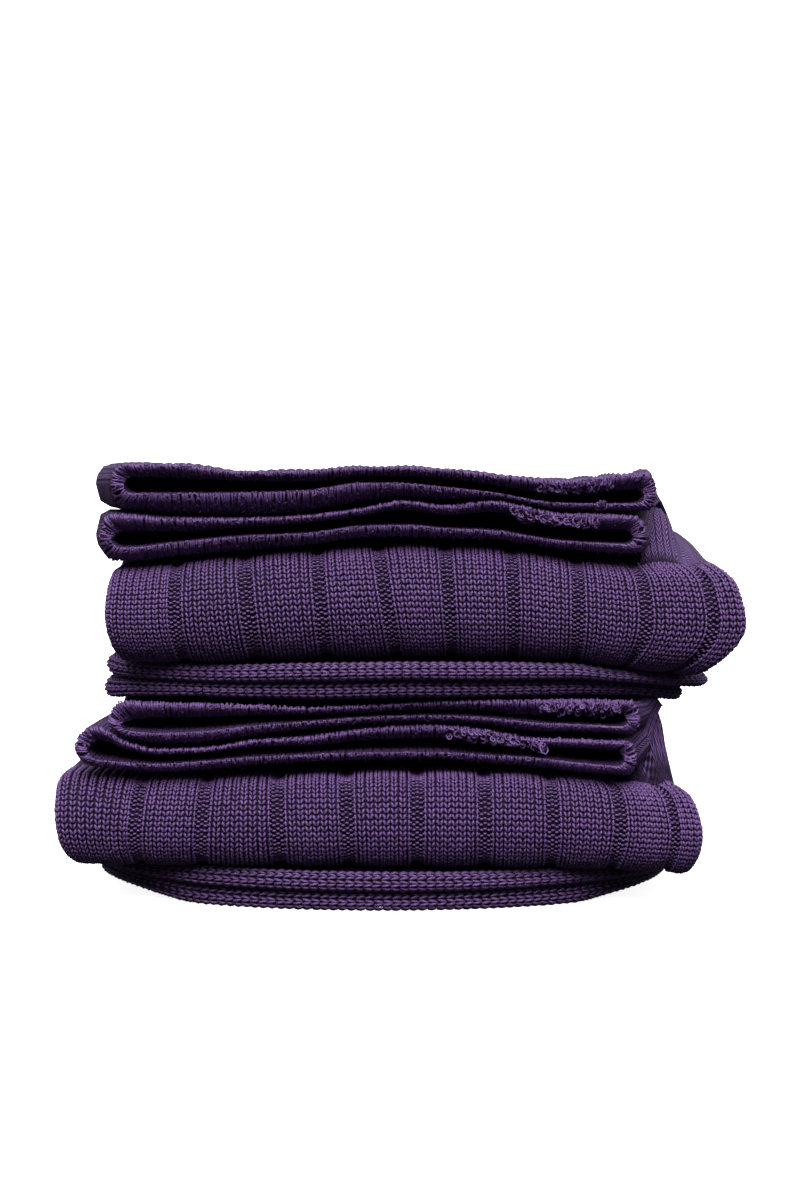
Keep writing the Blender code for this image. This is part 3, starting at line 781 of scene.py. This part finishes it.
def front_stitches(pair):
    """Each stitch of the front fold as short yarns, as seen on the outside of sock b."""
    to_station = course_stations(pair)
    counted = np.arange(-10.0, 45.0)
    lowest = int(np.interp(4.12, to_station(counted), counted))
    courses = np.arange(-8, lowest + 1)
    wales = np.arange(math.ceil(LEFT_TIP) - 1, math.floor(RIGHT_TIP) + 2) + 0.5
    off = from_furrow(wales)
    ribs = (wales > -1.0) & (wales < 65.0)
    purl = (np.abs(off) < 1.0) & ribs
    # the plain wales of a rib draw together, and its two side ones turn into the furrow
    together = 0.448 * np.sin(off / 8.0 * math.pi) * (1.0 - np.abs(off) / 4.0)
    wales = np.where(ribs & ~purl, wales + together, wales)
    hollows = np.arange(FURROWS) * WALES_PER_RIB
    # a short yarn: its stops, and how thick it is at each
    t = np.array([0.0, 0.28, 0.74, 1.0])
    shape = np.array([0.0, 1.0, 0.92, 0.0])
    arch = (2.0 * t - 1.0) ** 2
    parts = []

    def yarns(wale, course, lift, width, tall, tone=0.42):
        """wale, course and lift are (strands, stops)."""
        point, normal = surface_on(pair, "b", -1, to_station(course), wale)
        centre = point + normal * lift[..., None]
        shade = tone + uneven(0.1, len(wale))
        parts.append((strands(centre, normal, width, tall), np.clip(shade, 0.0, 1.0)))

    # plain stitches: two legs that lean together and meet lower down
    plain_wale, plain_course, n = each_stitch(wales[~purl], courses)
    slip = uneven(0.03, n, 1)
    for side in (-1.0, 1.0):
        wale = plain_wale + side * (0.37 - 0.31 * t) + uneven(0.015, n, 1)
        course = plain_course - 0.12 + 1.26 * t + slip + uneven(0.02, n, 1)
        lift = -0.05 - 0.30 * arch + uneven(0.02, n, 1)
        width = YARN * shape * (1.0 + uneven(0.08, n, 1))
        yarns(wale, course, lift, width, 0.95 * width)
    # the turned side wales: one leg shows, almost upright
    for side in (-1.0, 1.0):
        side_wale, side_course, n = each_stitch(hollows + side * 0.98, courses)
        wale = side_wale + side * (0.12 * t - 0.06) + uneven(0.012, n, 1)
        course = side_course - 0.2 + 1.4 * t + uneven(0.03, n, 1)
        lift = 0.10 - 0.16 * arch + uneven(0.02, n, 1)
        yarns(wale, course, lift, 0.85 * YARN * shape, 0.85 * YARN * shape)
    # purl stitches: small arches on the two wales, and the links between half a course lower
    for beside, drop, bow, width in (((-0.42, 0.42), 0.1, -0.24, 0.48), ((-0.8, 0.0, 0.8), 0.4, 0.24, 0.44)):
        spots = np.concatenate([hollows + off_middle for off_middle in beside])
        purl_wale, purl_course, n = each_stitch(spots, courses)
        wale = purl_wale + width * (t - 0.5) + uneven(0.02, n, 1)
        course = purl_course + drop + bow * (1.0 - arch) + uneven(0.05, n, 1)
        lift = 0.06 - 0.34 * arch + uneven(0.03, n, 1)
        yarns(wale, course, lift, 0.95 * YARN * shape, 0.9 * YARN * shape, 0.36)
    return make_yarns(f"{pair['name']}_front_fold_stitches", parts)


# ---- stitches of the toes --------------------------------
TOE_ROW = math.radians(47.0)  # from one chain of stitches to the next, round the toe's edge
TOE_EXTRA = 8                 # stitches of each chain past the rounded end


def toe_stitches(pair, sock):
    """Chains of stitches that run round the rounded toe, in rows from its sole to its instep."""
    left, right = (float(v[0]) for v in edges(pair, sock, np.array([7.0])))
    middle, half = 0.5 * (left + right), 0.5 * (right - left)
    tip_y = pair["toe_y"][sock]
    angles = np.linspace(0.0, math.pi, 721)
    run = run_of(np.column_stack([-half * np.cos(angles), -pair["toe_round"] * np.sin(angles)]))
    centre_level = 0.5 if sock == "a" else 1.5

    def surface(distance, turn):
        # past the rounded end the chains run straight back along the foot's sides
        beyond = np.maximum(-distance, 0.0) + np.maximum(distance - run[-1], 0.0)
        angle = np.interp(distance, run, angles)
        nx, ny = -np.cos(angle) / half, -np.sin(angle) / pair["toe_round"]
        size = np.hypot(nx, ny)
        nx, ny = nx / size, ny / size
        inward = EDGE_ROUND * (1.0 - np.cos(turn))
        x = middle - half * np.cos(angle) - nx * inward
        y = tip_y + pair["toe_round"] * (1.0 - np.sin(angle)) - ny * inward + beyond
        z = height(pair, x, y, centre_level + HALF * np.sin(turn))
        point = np.stack([x, y - MIDDLE_Y, z], -1)
        normal = np.stack([nx * np.cos(turn), ny * np.cos(turn), np.sin(turn)], -1)
        return point, normal

    t = np.array([0.0, 0.2, 0.5, 0.8, 1.0])
    count = int(run[-1] / TOE_COURSE)
    rows, stitches = (v.reshape(-1, 1) for v in np.meshgrid(
        np.arange(-2, 3), np.arange(-TOE_EXTRA, count + TOE_EXTRA + 1), indexing="ij"))
    n = len(rows)
    # the last ones sink into the foot
    sunk = 0.45 * ease(0.0, TOE_EXTRA, np.maximum(-stitches, stitches - count))
    parts = []
    for side in (-1.0, 1.0):
        turn = (rows + side * (0.38 - 0.33 * t) + uneven(0.015, n, 1)) * TOE_ROW
        distance = (stitches - 0.12 + 1.24 * t + uneven(0.03, n, 1)) * TOE_COURSE
        point, normal = surface(distance, turn)
        lift = 0.04 - 0.28 * (2.0 * t - 1.0) ** 2 - sunk + uneven(0.015, n, 1)
        centre = point + normal * lift[..., None]
        # the toe's yarns are painted darker than those of the front fold: painted shade on the toes, which
        # lie under the fold
        shade = np.clip(0.22 + uneven(0.1, n), 0.0, 1.0)
        width = 1.15 * YARN * np.array([0.0, 0.85, 1.0, 0.8, 0.0])
        parts.append((strands(centre, normal, width, 0.9 * width), shade))
    return make_yarns(f"{pair['name']}_toe_{sock}_stitches", parts)


# ---- the overcast lip of a cuff --------------------------
HOLE_SPACING = 1.5            # between the needle's pin holes
# from and to wale, wall (above 0 the upper one) and place over the lip, curls, their size
LOOSE_YARN = {
    ("upper", "a"): ((43.5, 56.0, 0.6, 90, 0.6), (57.0, 61.0, 0.5, 30, 0.7), (55.0, 58.5, -0.4, 30, 0.8)),
    ("upper", "b"): ((40.0, 56.5, 0.55, 140, 0.7), (41.0, 42.4, 0.8, 8, 1.0)),
    ("lower", "a"): ((48.5, 65.5, 0.45, 110, 0.8), (51.0, 64.0, 0.75, 22, 1.2)),
    ("lower", "b"): ((35.5, 47.5, 0.45, 80, 0.8), (46.0, 48.0, 0.65, 12, 1.4)),
}


def lip_stitches(pair, sock):
    """Yarns wound over the welt's edge, close together, all round the open mouth."""
    side = 1 if sock == "a" else -1
    zero = np.zeros(1)
    count = int(WALES_ROUND / 0.25)
    spots = np.arange(count) / count * WALES_ROUND + uneven(0.05, count)
    holes = np.arange(1.0, WALES_ROUND, HOLE_SPACING)
    holes = holes + uneven(0.3, len(holes))
    deep = chance.uniform(0.1, 0.4, len(holes))

    def by_hole(spot):
        """Distance from the nearest hole, that hole's size, and its place over the lip."""
        nearest = np.argmin(np.abs(spot[:, None] - holes[None]), 1)
        low_side = np.where((spot < 0.5 * WALES_ROUND) == (sock == "a"), 0.38, 0.62)
        return spot - holes[nearest], deep[nearest], low_side

    def at(spot, bend, lift, hang):
        """A point of a yarn, by its place round the mouth and over the lip.

        bend is below 0 on the outer face, 0 to 1 over the lip and above 1 inside the slit;
        lift is in mm off the cloth, and hang in mm over the slit.
        """
        u = spot % WALES_ROUND
        shown = u <= 0.5 * WALES_ROUND
        wale = LEFT_TIP + np.where(shown, u, WALES_ROUND - u)
        face = np.where(shown, side, -side)
        x_out, share = lay(pair, sock, zero, wale)
        x_in = drawn_in(pair, sock, zero, x_out)
        over = np.clip(bend, 0.0, 1.0)
        mix = 0.5 - 0.5 * np.cos(math.pi * over)
        proud = np.sin(math.pi * over)
        past = np.maximum(0.0, np.abs(bend - 0.5) - 0.5)
        fore = lip_line(pair, sock, x_out, over, face > 0, share) + lift * proud - 2.0 * past
        levels = levels_a_mm(pair, sock, x_out, face > 0)
        out = (HALF - 0.02 + lift * (1 - proud) * levels) * (1 - mix) + (SLIT - 0.01) * mix
        out = face * share * (out - hang * levels)
        return place(pair, sock, zero, x_out + (x_in - x_out) * mix, out, fore)

    def wound(spots, bends, lift, width, spread, hang=0.0):
        """Yarns through places and bends of (yarns, stops), oval and closed."""
        centre = at(spots, bends, lift, hang)
        heart = at(spots.mean(1, keepdims=True), np.full((len(spots), 1), 0.5), 0.0, 0.0)
        heart[..., 1] += LIP + 0.4
        normal = unit(centre - heart)
        # the lip's yarns are painted lighter than those of the front fold: painted light on the lips
        shade = np.clip(0.64 + uneven(spread, len(spots)), 0.0, 1.0)
        return strands(centre, normal, width, 0.8 * width), shade

    # the winding, drawn aside at each pin hole
    bends = np.array([-0.5, -0.1, 0.25, 0.5, 0.8, 1.2]) * np.ones((count, 1))
    slope = uneven(0.22, count, 1)
    width = 0.13 * np.array([0.0, 1.1, 1.1, 1.0, 0.9, 0.0]) * (1.0 + uneven(0.15, count, 1))
    away, wide, low_side = by_hole(spots)
    aside = wide * np.sign(away) * np.exp(-(away / 0.32) ** 2)
    aside = aside[:, None] * np.exp(-((bends - low_side[:, None]) / 0.15) ** 2)
    lift = uneven(0.06, count, 1) + uneven(0.03, *bends.shape)
    parts = [wound(spots[:, None] + slope * (bends - 0.4) + aside, bends, lift, width, 0.3)]

    # shorter turns lie between them every way, so that the edge looks mottled, but not on a hole
    t = np.array([0.0, 0.3, 0.7, 1.0])
    short = int(WALES_ROUND / 0.125)
    root = chance.uniform(0.0, WALES_ROUND, (short, 1))
    root_bend = chance.uniform(0.12, 0.9, (short, 1))
    away, wide, low_side = by_hole(root[:, 0])
    clear = (np.abs(away) > 1.5 * wide) | (np.abs(root_bend[:, 0] - low_side) > 0.2)
    root, root_bend, short = root[clear], root_bend[clear], int(clear.sum())
    spot = root + (t - 0.5) * uneven(0.3, short, 1)
    bend = root_bend + chance.uniform(0.08, 0.2, (short, 1)) * (t - 0.5)
    lift = 0.15 - 0.24 * (2.0 * t - 1.0) ** 2 + uneven(0.08, short, 1)
    parts.append(wound(spot, bend, lift, 0.12 * np.array([0.0, 1.0, 1.0, 0.0]), 0.5))

    # loose fibre ends stand off it
    hairs = 420
    root = chance.uniform(0.0, WALES_ROUND, (hairs, 1))
    root_bend = chance.uniform(0.1, 0.9, (hairs, 1))
    spot = root + t * uneven(0.6, hairs, 1)
    bend = root_bend + t * uneven(0.25, hairs, 1)
    lift = chance.uniform(0.1, 0.3, (hairs, 1)) * t
    parts.append(wound(spot, bend, lift, np.array([0.0, 0.035, 0.03, 0.0]), 0.2))

    # where the edge was cut and picked, the yarn curls out of it and hangs over the slit
    t = np.linspace(0.0, 1.0, 9)
    swing = np.sin(math.pi * t) ** 0.7
    ends = np.array([0.0, 0.9, 1.0, 1.0, 1.0, 1.0, 1.0, 0.9, 0.0])
    for start, end, over, curls, size in LOOSE_YARN[pair["name"], sock]:
        along = start + (end - start) * chance.uniform(0.0, 1.0, (curls, 1)) - LEFT_TIP
        if (over > 0) != (side > 0):
            along = WALES_ROUND - along
        turns = chance.uniform(0.6, 1.3, (curls, 1)) * t + chance.uniform(0.0, 1.0, (curls, 1))
        curl = 2.0 * math.pi * turns
        reach = size * chance.uniform(0.5, 1.1, (curls, 1)) * swing
        spot = along + 0.75 * reach * np.cos(curl) + 0.5 * (t - 0.5)
        bend = np.clip(abs(over) + uneven(0.2, curls, 1) * (1 - t), 0.15, 0.8)
        lift = reach * (0.9 + 0.3 * np.sin(curl))
        hang = (0.55 * np.sin(curl) + 0.25) * reach
        parts.append(wound(spot, bend, lift, 0.13 * ends, 0.45, hang))
    return make_yarns(f"{pair['name']}_cuff_{sock}_overcast", parts)


# ---- build -----------------------------------------------
for pair in (LOWER, UPPER):
    front = front_stitches(pair)
    for sock in ("a", "b"):
        piece = shell(pair, sock, station_rows(pair, DETAIL[pair["name"], sock]))
        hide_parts(f"{pair['name']}_sock_{sock}")
        on = [toe_stitches(pair, sock), lip_stitches(pair, sock)] + ([front] if sock == "b" else [])

# ---- floor and light -------------------------------------
bpy.ops.object.select_all(action="DESELECT")
bpy.ops.mesh.primitive_plane_add(size=6.0, location=(0.0, 0.0, 0.0))
floor = bpy.context.object
floor.name = "floor"
# opal acrylic with a lamp under it: matt white, so bright that the stack hardly shades it
floor_material = bpy.data.materials.new("lit_white_acrylic_table")
floor_material.use_nodes = True
floor_shader = floor_material.node_tree.nodes["Principled BSDF"]
floor_shader.inputs["Base Color"].default_value = colour("#E8E8E8")
floor_shader.inputs["Roughness"].default_value = 0.9
floor_shader.inputs["Emission Color"].default_value = colour("#FFFFFF")
floor_shader.inputs["Emission Strength"].default_value = 0.9
floor.data.materials.append(floor_material)
floor.visible_diffuse = False
floor.visible_glossy = False

# white studio: bright from above and dim from the horizon down, though the camera sees it white
world = bpy.data.worlds.new("studio")
bpy.context.scene.world = world
world.use_nodes = True
sky = world.node_tree
direction = add(sky, "TexCoord")
up = add(sky, "SeparateXYZ", {0: direction.outputs["Generated"]})
dome = add(sky, "MapRange", {0: up.outputs[2], 1: 0.0, 2: 0.9, 3: 0.045, 4: 1.0})
seen = add(sky, "LightPath")
bright = add(sky, "Mix", {0: seen.outputs["Is Camera Ray"], 2: dome, 3: 1.1}, data_type="FLOAT")
sky.links.new(bright.outputs[0], sky.nodes["Background"].inputs["Strength"])
sky.nodes["Background"].inputs["Color"].default_value = (1.0, 1.0, 1.0, 1.0)

# one broad soft light, above and in front
key_data = bpy.data.lights.new("soft_key", "SUN")
key_data.energy, key_data.angle = 5.8, math.radians(46.0)
key = bpy.data.objects.new("soft_key", key_data)
key.location = (0.0, -0.5, 0.8)
key.rotation_euler = (math.radians(39.0), 0.0, 0.0)
bpy.context.scene.collection.objects.link(key)
